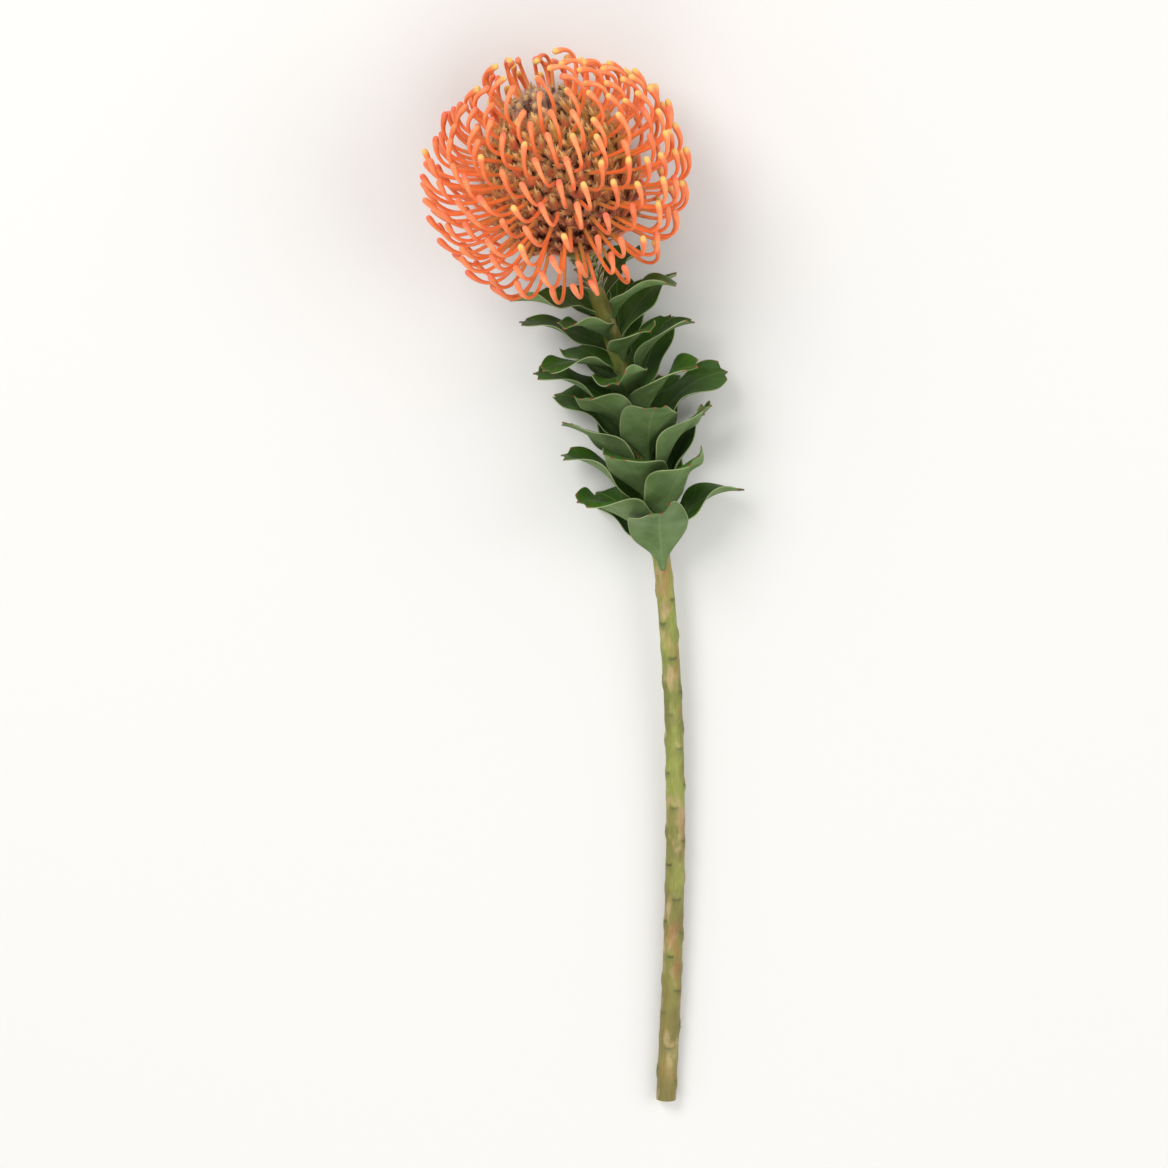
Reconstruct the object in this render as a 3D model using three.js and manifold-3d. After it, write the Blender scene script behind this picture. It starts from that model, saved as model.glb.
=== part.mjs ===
// A cut pincushion protea lying on its side: one flower head on a leafy stem that is bare towards the cut.
// Millimetres. It lies along Y on z = 0, with the cut end at -Y, the head at +Y and Z up.
import * as THREE from "three";
import { ConvexGeometry } from "three/addons/geometries/ConvexGeometry.js";
import { mergeVertices } from "three/addons/utils/BufferGeometryUtils.js";
import Module from "manifold-3d";

const wasm = await Module();
wasm.setup();

// Driving dimensions
const stemPoints = [
  [46.3, -300, 5.4],
  [49.8, -220.5, 8],
  [51.3, -141, 11.2],
  [49.3, -61.5, 15.4],
  [42.3, 18, 21.4],
  [27.8, 97.5, 31],
  [2.5, 177, 46.2],
]; // evenly spaced along Y, so the curve's own share runs evenly along Y too
const stem = {
  cutRadius: 5.6,
  topRadius: 4.5,
  sides: 10,
  rings: 46,
  firstScarY: -290,
  scarSpacing: 6.6,
  scarHeight: 0.75,
  scarReach: 5,
  scarFocus: 4, // above 1 a scar is narrower round the stem
};
const head = {
  base: new THREE.Vector3(-1.7, 192, 50),
  leftLeanDeg: 16,
  upTiltDeg: 18,
  halfWidth: 35,
  lowerHalf: 36,
  upperHalf: 50,
  florets: 232,
  budsAtApex: 7, // the youngest florets, whose styles aren't out yet
  lastPolarDeg: 146,
  crowding: 1.3, // above 1 the florets stand closer towards the apex
  basePolarDeg: 157, // from here on the underside is flat, where it sits on the neck
  lumpHeight: 3.6,
};
const style = {
  length: 50,
  apexLengthShare: 0.8,
  lengthSpread: 0.07,
  rootDepth: 7,
  rings: [0, 0.48, 0.65, 0.79, 0.92, 1], // shares of the whole length, root to tip
  radii: [0.95, 0.85, 0.9, 1.05, 1.65, 0],
  belowLump: 3.2, // it comes out this far below the top of its floret's lump
  apexPolar: 0.35, // from the axis to here the tips hook over the apex
  openPolar: 1.5, // from here down they point along the head
  apexTipDeg: -85, // where the tip points: 0 is along the head, below 0 is inwards
  openTipDeg: 6,
  tipSpreadDeg: 12,
  leaningDeg: 12, // tips on the right hook in by this much more, and on the left by this much less
  earlyBend: 0.2, // share of the bend that is spread over the whole length, with the rest in the hook
  hookStart: 0.36,
  hookEnd: 0.9,
  sidewaysDrift: 4.5,
  steps: 24,
};
const neck = {
  sides: 10,
  rings: 5,
  sunk: 1.5, // its foot starts this far inside the stem
  gap: 0.3, // to the head
  footRadius: 4.5,
  topRadius: 15,
  flare: 2.2, // above 1 it widens mostly near the head
  length: 16,
  bracts: 32,
  firstBract: -0.75, // shares of the neck's length, with those below 0 on the top of the shoot
  lastBract: 0.64,
  bractSunk: 0.8,
  bractReach: 4,
  bractLength: 4.8,
  bractHalfWidth: 2.6,
  bractThickness: 0.9,
};
const leaf = {
  count: 34,
  firstY: 10,
  lastY: 159,
  length: 60,
  youngLengthShare: 0.74, // the leaves by the head are shorter
  lengthSpread: 0.08,
  halfWidthShare: 0.265,
  footWidthShare: 0.3,
  footEnd: 0.32, // how far along the foot has widened into the blade
  swell: [0.12, 0.96], // the part of an even swell that the blade's width follows
  fullness: 0.7, // below 1 the blade keeps its width for longer
  thickness: 0.8,
  footPitchDeg: [25, 55], // from the stem's direction, for the lowest and the youngest leaf
  footPitchSpread: 5,
  tipPitchDeg: [68, 82],
  tipPitchSpread: 16,
  rollSpreadDeg: 10,
  rollEnd: 0.3,
  twistSpreadDeg: 26,
  cup: 0.18, // depth as a share of half the width
  cupSpread: 0.12,
  wave: 2.5,
  waveSpread: 1.1,
  waveTurns: 9, // radians of wave along the edge
  waveSkew: 1.2, // radians by which the two edges are apart from the rib
  waveGrows: [0.1, 0.5],
  recurve: 4,
  recurveSpread: 4,
  acrossCells: 4,
  alongCells: 6,
  tipRow: [0.952, 0.948, 1, 0.948, 0.952], // three small teeth: how far along each point of the last row is
  gap: 0.3,
  pressDepth: 1.4, // how many times the stem's height the leaves under it are pressed up
  lowest: 0.3,
};
const goldenAngle = THREE.MathUtils.degToRad(137.508);
const surfaceSoftness = 2.5; // how gently a style bends where it meets the surface

const { lerp, clamp, degToRad, smoothstep } = THREE.MathUtils;

// A repeatable number from -1 to 1 for the index-th piece.
function jitter(index, salt) {
  const value = Math.sin(index * 12.9898 + salt * 78.233) * 43758.5453;
  return 2 * (value - Math.floor(value)) - 1;
}

// Styles bend along the surface that they lie on: the lower a point was, the lower it stays.
function restOnSurface(point, lowest) {
  const above = (point.z - lowest) / surfaceSoftness;
  point.z = lowest + surfaceSoftness * (above > 30 ? above : Math.log1p(Math.exp(above)));
  return point;
}

// Leaves below the stem are pressed towards the surface, the more the further down they would hang.
function pressUnderStem(point) {
  const level = stemFrame(clamp(point.y, cutY, stemTopY)).centre.z - stem.topRadius;
  if (point.z > level) return point;
  const flattest = Math.exp(-leaf.pressDepth);
  const share = (Math.exp((point.z - level) / level) - flattest) / (1 - flattest);
  point.z = Math.max(level * share, leaf.lowest);
  return point;
}

// Moves each vertex of a simple geometry to where place(x, y, z) puts it.
function bent(geometry, place) {
  const position = geometry.getAttribute("position");
  for (let i = 0; i < position.count; i++) {
    const p = place(position.getX(i), position.getY(i), position.getZ(i));
    position.setXYZ(i, p.x, p.y, p.z);
  }
  geometry.deleteAttribute("normal");
  geometry.deleteAttribute("uv");
  return mergeVertices(geometry, 1e-4);
}

function toSolid(geometry) {
  return new wasm.Manifold(
    new wasm.Mesh({
      numProp: 3,
      vertProperties: new Float32Array(geometry.getAttribute("position").array),
      triVerts: new Uint32Array(geometry.index.array),
    }),
  );
}

// One body from several closed geometries that overlap. A scrap that touches nothing is dropped.
function fused(geometries) {
  const whole = wasm.Manifold.union(geometries.map(toSolid));
  const bodies = whole.decompose().sort((a, b) => b.volume() - a.volume());
  const mesh = bodies[0].getMesh();
  const positions = new Float32Array(mesh.numVert * 3);
  for (let i = 0; i < mesh.numVert; i++) {
    positions.set(mesh.vertProperties.subarray(i * mesh.numProp, i * mesh.numProp + 3), i * 3);
  }
  return new THREE.BufferGeometry()
    .setAttribute("position", new THREE.BufferAttribute(positions, 3))
    .setIndex(new THREE.BufferAttribute(mesh.triVerts, 1));
}

// Stem
const stemCurve = new THREE.CatmullRomCurve3(
  stemPoints.map((p) => new THREE.Vector3(...p)),
  false,
  "catmullrom",
  0.5,
);
const cutY = stemPoints[0][1];
const stemTopY = stemPoints[stemPoints.length - 1][1];

// The stem's centre, its direction and two directions across it, at a height y along the flower.
function stemFrame(y) {
  const share = (y - cutY) / (stemTopY - cutY);
  const along = stemCurve.getTangent(share);
  const right = new THREE.Vector3().crossVectors(along, new THREE.Vector3(0, 0, 1)).normalize();
  const up = new THREE.Vector3().crossVectors(right, along).normalize();
  return { centre: stemCurve.getPoint(share), along, right, up, share };
}

function stemRadius(share) {
  return lerp(stem.cutRadius, stem.topRadius, share);
}

// The i-th leaf or leaf scar stands at this angle round the stem, counted from the right-hand side.
function spiralAngle(i) {
  return i * goldenAngle + 0.6;
}

// Old leaf bases stand out as low bumps on the bare part.
function scarBump(y, angle) {
  const nearest = Math.round((y - stem.firstScarY) / stem.scarSpacing);
  const lastScar = Math.floor((leaf.firstY - stem.firstScarY) / stem.scarSpacing) - 1;
  let bump = 0;
  for (let i = nearest - 1; i <= nearest + 1; i++) {
    if (i < 0 || i > lastScar) continue;
    const turned = Math.cos(angle - spiralAngle(i));
    const away = (y - stem.firstScarY - i * stem.scarSpacing) / stem.scarReach;
    bump += Math.max(0, turned) ** stem.scarFocus * Math.max(0, 1 - away * away);
  }
  return stem.scarHeight * bump;
}

function makeShoot() {
  const rod = new THREE.CylinderGeometry(1, 1, 1, stem.sides, stem.rings);
  return bent(rod, (x, height, z) => {
    const y = lerp(cutY, stemTopY, height + 0.5);
    const at = stemFrame(y);
    const angle = Math.atan2(z, x);
    const radius = Math.hypot(x, z) * (stemRadius(at.share) + scarBump(y, angle));
    const p = at.centre
      .clone()
      .addScaledVector(at.right, Math.cos(angle) * radius)
      .addScaledVector(at.up, Math.sin(angle) * radius);
    p.z = Math.max(p.z, 0); // it lies flat on the surface where it touches
    return p;
  });
}

// Flower head: points are given by distance from its axis, height above its base and angle round the axis
const lean = degToRad(head.leftLeanDeg);
const tilt = degToRad(head.upTiltDeg);
const headAxis = new THREE.Vector3(
  -Math.sin(lean) * Math.cos(tilt),
  Math.cos(lean) * Math.cos(tilt),
  Math.sin(tilt),
);
const headRight = new THREE.Vector3().crossVectors(headAxis, new THREE.Vector3(0, 0, 1)).normalize();
const headUp = new THREE.Vector3().crossVectors(headRight, headAxis).normalize();

function headPoint(radius, height, angle, sideways = 0) {
  const cos = Math.cos(angle);
  const sin = Math.sin(angle);
  return head.base
    .clone()
    .addScaledVector(headAxis, height)
    .addScaledVector(headRight, radius * cos - sideways * sin)
    .addScaledVector(headUp, radius * sin + sideways * cos);
}

// The direction round the head's axis, at an angle round it.
function aroundHead(angle) {
  return new THREE.Vector3()
    .addScaledVector(headRight, -Math.sin(angle))
    .addScaledVector(headUp, Math.cos(angle));
}

// Distance from the middle of the head to its egg-shaped surface, at an angle from the axis.
function eggRadius(polar) {
  const half = Math.cos(polar) > 0 ? head.upperHalf : head.lowerHalf;
  return 1 / Math.hypot(Math.cos(polar) / half, Math.sin(polar) / head.halfWidth);
}

function eggSlope(polar) {
  const half = Math.cos(polar) > 0 ? head.upperHalf : head.lowerHalf;
  return Math.atan2(Math.sin(polar) / head.halfWidth ** 2, Math.cos(polar) / half ** 2);
}

// Florets follow a spiral from the apex down, at an angle from the axis and an angle round it.
function floretPolar(k) {
  const share = ((k + 0.5) / head.florets) ** head.crowding;
  return Math.acos(lerp(1, Math.cos(degToRad(head.lastPolarDeg)), share));
}

function floretAngle(k) {
  return k * goldenAngle;
}

// The style of floret k, from inside the head to its tip: it leaves the head squarely and hooks to the apex.
function stylePath(k) {
  const polar = floretPolar(k) + style.belowLump / head.halfWidth;
  const openness = smoothstep(polar, style.apexPolar, style.openPolar);
  const from = eggSlope(polar);
  const leaning = style.leaningDeg * Math.cos(floretAngle(k));
  const tip = lerp(style.apexTipDeg, style.openTipDeg, openness);
  const to = degToRad(tip + style.tipSpreadDeg * jitter(k, 1) - leaning);
  const share = lerp(style.apexLengthShare, 1, openness) * (1 + style.lengthSpread * jitter(k, 2));
  const length = style.length * share;
  const drift = style.sidewaysDrift * jitter(k, 3);
  const rootRadius = eggRadius(polar) - style.rootDepth;
  let radius = rootRadius * Math.sin(polar);
  let height = head.lowerHalf + rootRadius * Math.cos(polar);
  const step = (length + style.rootDepth) / style.steps;
  const points = [];
  for (let n = 0; n <= style.steps; n++) {
    const outside = clamp((n * step - style.rootDepth) / length, 0, 1);
    const hook = smoothstep(outside, style.hookStart, style.hookEnd);
    const slope = lerp(from, to, style.earlyBend * outside + (1 - style.earlyBend) * hook);
    points.push({ radius, height, slope, sideways: drift * outside * outside });
    radius += step * Math.sin(slope);
    height += step * Math.cos(slope);
  }
  return points;
}

function styleAt(path, share) {
  const place = share * style.steps;
  const n = Math.min(Math.floor(place), style.steps - 1);
  const blend = (key) => lerp(path[n][key], path[n + 1][key], place - n);
  return {
    radius: blend("radius"),
    height: blend("height"),
    slope: blend("slope"),
    sideways: blend("sideways"),
  };
}

function makeStyle(k) {
  const path = stylePath(k);
  const segments = style.rings.length - 1;
  const angle = floretAngle(k);
  const rod = new THREE.ConeGeometry(1, 1, 3, segments);
  return bent(rod, (x, y, z) => {
    const ring = Math.round((y + 0.5) * segments);
    const at = styleAt(path, style.rings[ring]);
    const thick = style.radii[ring] / (Math.hypot(x, z) || 1);
    const lowest = style.radii[ring] || style.radii[0];
    const centre = restOnSurface(headPoint(at.radius, at.height, angle, at.sideways), lowest);
    const outwards = headPoint(Math.cos(at.slope), -Math.sin(at.slope), angle).sub(head.base);
    return centre
      .addScaledVector(aroundHead(angle), -x * thick)
      .addScaledVector(outwards, z * thick);
  });
}

function direction(polar, angle) {
  const radius = Math.sin(polar);
  return new THREE.Vector3(radius * Math.cos(angle), radius * Math.sin(angle), Math.cos(polar));
}

// The woolly florets that the styles stand out of: each one is a lump, with clefts between the lumps.
function makeFloretMass() {
  const directions = [direction(Math.PI, 0)];
  for (let n = 0; n < neck.sides; n++) {
    directions.push(direction(degToRad(head.basePolarDeg), (n / neck.sides) * 2 * Math.PI));
  }
  for (let k = 0; k < head.florets; k++) {
    directions.push(direction(floretPolar(k), floretAngle(k)));
  }
  const corner = new ConvexGeometry(directions).getAttribute("position");
  const positions = [];
  const place = (v, lumpHeight) => {
    const polar = Math.acos(clamp(v.z / v.length(), -1, 1));
    const onBase = polar > degToRad(head.basePolarDeg - 1);
    const reach = eggRadius(polar) + (onBase ? 0 : lumpHeight);
    const height = onBase ? 0 : head.lowerHalf + reach * Math.cos(polar);
    return headPoint(reach * Math.sin(polar), height, Math.atan2(v.y, v.x)).toArray();
  };
  for (let i = 0; i < corner.count; i += 3) {
    const v = [0, 1, 2].map((j) => new THREE.Vector3().fromBufferAttribute(corner, i + j));
    const cleft = new THREE.Vector3().add(v[0]).add(v[1]).add(v[2]);
    const tops = v.map((p) => place(p, head.lumpHeight));
    const middle = place(cleft, 0);
    for (let j = 0; j < 3; j++) positions.push(...tops[(j + 1) % 3], ...tops[j], ...middle);
  }
  const corners = new THREE.BufferAttribute(new Float32Array(positions), 3);
  return mergeVertices(new THREE.BufferGeometry().setAttribute("position", corners), 1e-4);
}

function makeHead() {
  const pieces = [makeFloretMass()];
  for (let k = head.budsAtApex; k < head.florets; k++) pieces.push(makeStyle(k));
  return fused(pieces);
}

// The neck widens from the stem's top to the underside of the head, and carries small bracts.
function neckCentre(share) {
  const foot = stemFrame(stemTopY);
  const start = foot.centre.addScaledVector(foot.along, -neck.sunk);
  const end = head.base.clone().addScaledVector(headAxis, -neck.gap);
  const reach = start.distanceTo(end) / 2;
  const middle = end.clone().addScaledVector(headAxis, -reach);
  return new THREE.QuadraticBezierCurve3(start, middle, end).getPoint(share);
}

function neckRadius(share) {
  return lerp(neck.footRadius, neck.topRadius, Math.max(share, 0) ** neck.flare);
}

// Its rings turn from square to the stem to square to the head. A share below 0 is on the shoot.
function neckPoint(share, angle, radius) {
  const turned = Math.max(share, 0);
  const at = stemFrame(stemTopY + Math.min(share, 0) * neck.length);
  const centre = share > 0 ? neckCentre(share) : at.centre;
  return centre
    .addScaledVector(at.right.lerp(headRight, turned), Math.cos(angle) * radius)
    .addScaledVector(at.up.lerp(headUp, turned), Math.sin(angle) * radius);
}

function makeBract(n) {
  const share = lerp(neck.firstBract, neck.lastBract, n / neck.bracts);
  const angle = n * goldenAngle;
  const foot = neckPoint(share, angle, neckRadius(share) - neck.bractSunk);
  const tip = neckPoint(share, angle, neckRadius(share) + neck.bractReach);
  const along = tip.addScaledVector(headAxis, neck.bractLength).sub(foot);
  const across = aroundHead(angle);
  const outwards = new THREE.Vector3().crossVectors(across, along).normalize();
  return bent(new THREE.ConeGeometry(1, 1, 4), (x, y, z) =>
    foot
      .clone()
      .addScaledVector(along, y + 0.5)
      .addScaledVector(across, x * neck.bractHalfWidth)
      .addScaledVector(outwards, z * neck.bractThickness),
  );
}

function makeNeck() {
  const rod = new THREE.CylinderGeometry(1, 1, 1, neck.sides, neck.rings);
  return bent(rod, (x, y, z) => {
    const share = y + 0.5;
    return neckPoint(share, Math.atan2(z, x), Math.hypot(x, z) * neckRadius(share));
  });
}

function makeStem() {
  const pieces = [makeShoot(), makeNeck()];
  for (let n = 0; n < neck.bracts; n++) pieces.push(makeBract(n));
  return fused(pieces);
}

// Leaves
function leafShape(i) {
  const rise = i / (leaf.count - 1);
  const young = rise ** 3;
  return {
    foot: lerp(leaf.firstY, leaf.lastY, rise),
    angle: spiralAngle(i + 3),
    length: leaf.length * lerp(1, leaf.youngLengthShare, young) * (1 + leaf.lengthSpread * jitter(i, 11)),
    from: degToRad(lerp(...leaf.footPitchDeg, young) + leaf.footPitchSpread * jitter(i, 12)),
    to: degToRad(lerp(...leaf.tipPitchDeg, young) + leaf.tipPitchSpread * jitter(i, 13)),
    roll: degToRad(leaf.rollSpreadDeg * jitter(i, 14)),
    twist: degToRad(leaf.twistSpreadDeg * jitter(i, 15)),
    cup: leaf.cup + leaf.cupSpread * jitter(i, 16),
    wave: leaf.wave + leaf.waveSpread * jitter(i, 17),
    phase: Math.PI * jitter(i, 18),
    recurve: leaf.recurve + leaf.recurveSpread * jitter(i, 19),
  };
}

// Half the blade's width as a share of the widest: a narrow foot, an oblong blade and a blunt tip.
function bladeWidth(along) {
  const swell = Math.sin(Math.PI * lerp(...leaf.swell, along)) ** leaf.fullness;
  return lerp(leaf.footWidthShare, 1, smoothstep(along, 0, leaf.footEnd)) * swell;
}

// A point in the middle of the blade: along runs from foot to tip, across from -1 to 1.
function leafPoint(shape, along, across) {
  const at = stemFrame(shape.foot);
  const outwards = new THREE.Vector3()
    .addScaledVector(at.right, Math.cos(shape.angle))
    .addScaledVector(at.up, Math.sin(shape.angle));
  const pitch = lerp(shape.from, shape.to, along);
  const radius = shape.length / (shape.to - shape.from);
  const rib = at.centre
    .addScaledVector(outwards, stemRadius(at.share) + leaf.gap + leaf.thickness / 2)
    .addScaledVector(at.along, radius * (Math.sin(pitch) - Math.sin(shape.from)))
    .addScaledVector(outwards, radius * (Math.cos(shape.from) - Math.cos(pitch)));
  const forwards = new THREE.Vector3()
    .addScaledVector(at.along, Math.cos(pitch))
    .addScaledVector(outwards, Math.sin(pitch));
  const turn = shape.roll * smoothstep(along, 0, leaf.rollEnd) + shape.twist * along * along;
  const sideways = new THREE.Vector3().crossVectors(at.along, outwards).applyAxisAngle(forwards, turn);
  const face = new THREE.Vector3().crossVectors(sideways, forwards);
  const half = shape.length * leaf.halfWidthShare * bladeWidth(along);
  const ripple = shape.wave * Math.sin(leaf.waveTurns * along + shape.phase + leaf.waveSkew * across);
  const lift = ripple * smoothstep(along, ...leaf.waveGrows) - shape.cup * half;
  return rib
    .addScaledVector(sideways, half * across)
    .addScaledVector(face, across * across * lift + shape.recurve * along ** 3);
}

function makeLeaf(i) {
  const shape = leafShape(i);
  const columns = leaf.acrossCells + 1;
  const sheet = new THREE.PlaneGeometry(1, 1, leaf.acrossCells, leaf.alongCells);
  sheet.deleteAttribute("uv");
  sheet.deleteAttribute("normal");
  const middle = sheet.getAttribute("position");
  for (let n = 0; n < middle.count; n++) {
    const row = Math.floor(n / columns);
    const column = n % columns;
    const across = (2 * column) / leaf.acrossCells - 1;
    const along = row < leaf.alongCells ? row / leaf.alongCells : leaf.tipRow[column];
    const p = pressUnderStem(leafPoint(shape, along, across));
    middle.setXYZ(n, p.x, p.y, p.z);
  }
  sheet.computeVertexNormals();
  return thickened(sheet, columns, leaf.alongCells + 1);
}

// A closed blade round a sheet of points: the same triangles on both faces, and a wall along the rim.
function thickened(sheet, columns, rows) {
  const middle = sheet.getAttribute("position");
  const normal = sheet.getAttribute("normal");
  const positions = [];
  for (const side of [0.5, -0.5]) {
    for (let n = 0; n < middle.count; n++) {
      const p = new THREE.Vector3().fromBufferAttribute(middle, n);
      const out = new THREE.Vector3().fromBufferAttribute(normal, n);
      p.addScaledVector(out, side * leaf.thickness);
      p.z = Math.max(p.z, 0); // its underside is flat where it lies on the surface
      positions.push(...p.toArray());
    }
  }
  const faces = [...sheet.index.array];
  const count = middle.count;
  const index = [...faces];
  for (let f = 0; f < faces.length; f += 3) {
    index.push(faces[f] + count, faces[f + 2] + count, faces[f + 1] + count);
  }
  const rim = [];
  for (let c = 0; c < columns - 1; c++) rim.push(c);
  for (let r = 0; r < rows - 1; r++) rim.push(r * columns + columns - 1);
  for (let c = columns - 1; c > 0; c--) rim.push((rows - 1) * columns + c);
  for (let r = rows - 1; r > 0; r--) rim.push(r * columns);
  rim.forEach((a, n) => {
    const b = rim[(n + 1) % rim.length];
    index.push(a, b, b + count, a, b + count, a + count);
  });
  return new THREE.BufferGeometry()
    .setAttribute("position", new THREE.BufferAttribute(new Float32Array(positions), 3))
    .setIndex(index);
}

// Colours and roughness as seen in daylight
const finishes = {
  bark: { color: 0x9aa05c, roughness: 0.75, metalness: 0 },
  blade: { color: 0x3f5f34, roughness: 0.5, metalness: 0 },
  petals: { color: 0xee6434, roughness: 0.5, metalness: 0 },
};

const flower = new THREE.Group();
function addPiece(name, geometry, finish) {
  const piece = new THREE.Mesh(geometry, new THREE.MeshStandardMaterial(finish));
  piece.name = name;
  flower.add(piece);
}

addPiece("stem", makeStem(), finishes.bark);
addPiece("flower_head", makeHead(), finishes.petals);
for (let i = 0; i < leaf.count; i++) {
  addPiece("leaf_" + String(i + 1).padStart(2, "0"), makeLeaf(i), finishes.blade);
}

export default flower;
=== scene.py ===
import math
from functools import partial
from types import SimpleNamespace

import bmesh
import bpy
from mathutils import Matrix, Quaternion, Vector, kdtree, noise


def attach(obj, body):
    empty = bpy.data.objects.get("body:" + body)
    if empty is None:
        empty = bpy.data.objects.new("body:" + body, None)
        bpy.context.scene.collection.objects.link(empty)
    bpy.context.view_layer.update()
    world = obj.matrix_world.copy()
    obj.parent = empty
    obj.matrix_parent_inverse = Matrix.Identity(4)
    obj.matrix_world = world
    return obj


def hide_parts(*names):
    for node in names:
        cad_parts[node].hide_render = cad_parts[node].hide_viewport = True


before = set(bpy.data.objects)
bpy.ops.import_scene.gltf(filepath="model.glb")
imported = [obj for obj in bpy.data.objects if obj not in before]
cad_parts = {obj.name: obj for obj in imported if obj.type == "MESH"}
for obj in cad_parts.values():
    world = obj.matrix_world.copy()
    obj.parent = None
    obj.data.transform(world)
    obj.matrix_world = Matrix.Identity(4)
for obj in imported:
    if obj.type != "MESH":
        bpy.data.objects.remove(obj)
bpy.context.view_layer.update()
print("frame loaded:", len(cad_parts), "nodes")

mm = 0.001
goldenAngle = math.radians(137.508)
zAxis = Vector((0, 0, 1))
aboveTable = 0.05 * mm  # what lies on the table stays this far above it


# Numbers
def lerp(a, b, share):
    return a + (b - a) * share


def clamp(value, low=0.0, high=1.0):
    return max(low, min(high, value))


def smoothstep(value, low, high):
    share = clamp((value - low) / (high - low))
    return share * share * (3 - 2 * share)


def jitter(index, salt):  # a repeatable number from -1 to 1 for the index-th piece
    value = math.sin(index * 12.9898 + salt * 78.233) * 43758.5453
    return 2 * (value - math.floor(value)) - 1


def draw(index, salt):  # the same from 0 to 1
    return (jitter(index, salt) + 1) / 2


def alongKnots(knots, share):  # smooth steps between (share, value) pairs
    for (a, low), (b, high) in zip(knots, knots[1:]):
        if share <= b:
            return lerp(low, high, smoothstep(share, a, b))
    return knots[-1][1]


def pathAt(points, share):  # straight lines between points at equal shares of a path
    place = share * (len(points) - 1)
    n = min(int(place), len(points) - 2)
    return [lerp(a, b, place - n) for a, b in zip(points[n], points[n + 1])]


def walkPath(radius, height, step, turns):  # each turn is a slope, with whatever else is kept with the point
    points = []
    for turn in turns:
        points.append((radius, height, *turn))
        radius += step * math.sin(turn[0])
        height += step * math.cos(turn[0])
    return points


def rowAt(row, across):  # between the values of a row that crosses a blade from -1 to 1
    return pathAt([(value,) for value in row], (clamp(across, -1, 1) + 1) / 2)[0]


# Shapes that are repeated: a small closed template, copied and then placed point by point
def rodTemplate(sides, rings):  # a closed rod of radius 1 from z = 0 to z = 1
    rod = bmesh.new()
    bmesh.ops.create_cone(rod, cap_ends=True, segments=sides, radius1=1, radius2=1, depth=1)
    bmesh.ops.translate(rod, verts=rod.verts, vec=(0, 0, 0.5))
    rungs = [edge for edge in rod.edges if abs(edge.verts[0].co.z - edge.verts[1].co.z) > 0.5]
    bmesh.ops.subdivide_edges(rod, edges=rungs, cuts=rings - 1)
    return rod


def spikeTemplate():  # a three-sided spike of radius 1 from z = 0 to its point at z = 1
    spike = bmesh.new()
    bmesh.ops.create_cone(spike, cap_ends=True, segments=3, radius1=1, radius2=0, depth=1)
    bmesh.ops.translate(spike, verts=spike.verts, vec=(0, 0, 0.5))
    return spike


def bladeTemplate(acrossCells, alongCells):  # a plate: x across -1..1, y along 0..1, z is the face
    plate = bmesh.new()
    bmesh.ops.create_grid(plate, x_segments=acrossCells, y_segments=alongCells, size=1)
    bmesh.ops.translate(plate, verts=plate.verts, vec=(0, 1, 0))
    bmesh.ops.scale(plate, verts=plate.verts, vec=(1, 0.5, 1))
    bmesh.ops.solidify(plate, geom=plate.faces[:], thickness=1)
    middle = sum(vert.co.z for vert in plate.verts) / len(plate.verts)
    bmesh.ops.translate(plate, verts=plate.verts, vec=(0, 0, -middle))
    return plate


def repeatShape(template, count, place, marks):
    shape = bpy.data.meshes.new("shape")
    template.to_mesh(shape)
    template.free()
    whole = bmesh.new()
    for _ in range(count):
        whole.from_mesh(shape)
    layers = {name: whole.verts.layers.float.new(name) for name in marks}
    each = len(shape.vertices)
    for index, vert in enumerate(whole.verts):
        local = vert.co.copy()
        for name, mark in marks.items():
            vert[layers[name]] = mark(index // each, local)
        vert.co = place(index // each, local)
    bpy.data.meshes.remove(shape)
    bmesh.ops.recalc_face_normals(whole, faces=whole.faces)
    return whole


# A point of a blade's face: pointAt gives its middle sheet, thicknessAt the whole thickness there.
def bladePlace(pointAt, thicknessAt):
    step = 0.01

    def place(n, local):
        along, across = local.y, local.x
        middle = pointAt(n, along, across)
        towardsTip = pointAt(n, along + step, across) - middle
        towardsEdge = pointAt(n, along, across + step) - middle
        face = towardsEdge.cross(towardsTip).normalized()
        side = math.copysign(0.5, local.z)
        return middle + face * side * thicknessAt(n, along, across, side)

    return place


def addObject(name, data):
    thing = bpy.data.objects.new(name, data)
    bpy.context.scene.collection.objects.link(thing)
    return thing


def addMesh(name, bm, *materials):
    mesh = bpy.data.meshes.new(name)
    bm.to_mesh(mesh)
    bm.free()
    for material in materials:
        mesh.materials.append(material)
    mesh.shade_smooth()
    return addObject(name, mesh)


def finishPiece(name, bm, materials, slot, *nodes):
    piece = addMesh(name, bm, *materials)
    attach(piece, "root")
    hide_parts(*nodes)
    return piece


def smoothen(piece, levels):
    modifier = piece.modifiers.new("smooth", "SUBSURF")
    modifier.levels = levels
    modifier.render_levels = levels


# Materials
colorMix = {"data_type": "RGBA"}
softLight = {"data_type": "RGBA", "blend_type": "SOFT_LIGHT"}
overlay = {"data_type": "RGBA", "blend_type": "OVERLAY"}
smoothRange = {"interpolation_type": "SMOOTHSTEP"}
times = {"operation": "MULTIPLY"}
timesPlus = {"operation": "MULTIPLY_ADD"}
absolute = {"operation": "ABSOLUTE"}
mixInputs = (0, 6, 7)  # a Mix node's factor and its two colours
usedOutputs = {"TexCoord": "Object", "Attribute": "Fac", "Mix": 2}  # any other node's first output is used


def hexColor(text):
    channels = [int(text[i : i + 2], 16) / 255 for i in (1, 3, 5)]
    linear = [c / 12.92 if c <= 0.04045 else ((c + 0.055) / 1.055) ** 2.4 for c in channels]
    return (*linear, 1)


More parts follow.
